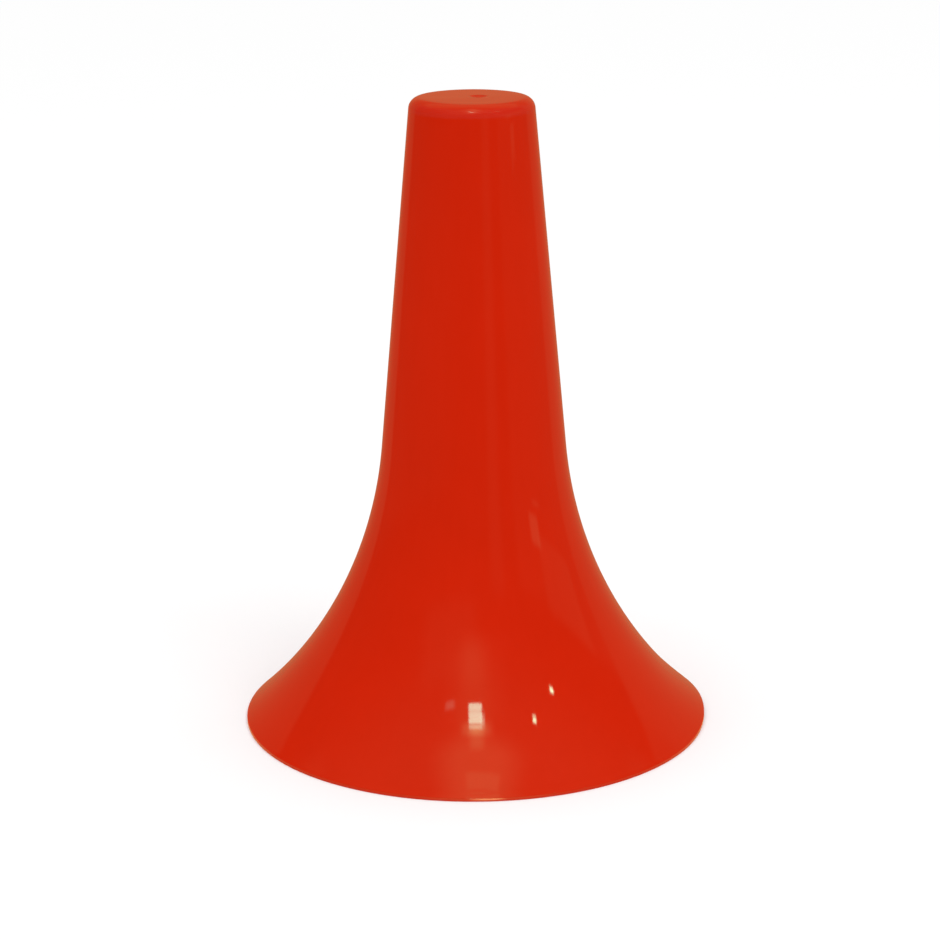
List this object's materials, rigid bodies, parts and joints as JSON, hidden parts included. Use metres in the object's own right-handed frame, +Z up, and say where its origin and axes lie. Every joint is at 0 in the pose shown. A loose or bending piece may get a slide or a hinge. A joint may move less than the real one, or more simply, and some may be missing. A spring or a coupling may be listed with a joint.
{
  "type": "training cone",
  "caption": "Hollow plastic marker cone: a tapering trunk with a flat closed top that runs into a round trumpet-shaped foot, open underneath so that cones stack.",
  "frame": {"origin": "centre of the base, on the ground", "axes": "+Z up along the cone's axis; -Y is the side that the picture shows; +X is the side of the axis on which the gate's well lies"},
  "size_m": [0.17, 0.17, 0.229],
  "materials": {
    "cone_plastic": "moulded orange-red plastic, glossy, coloured right through"
  },
  "bodies": {
    "root": {"cone_shell": "cone_plastic"}
  },
  "joints": []
}
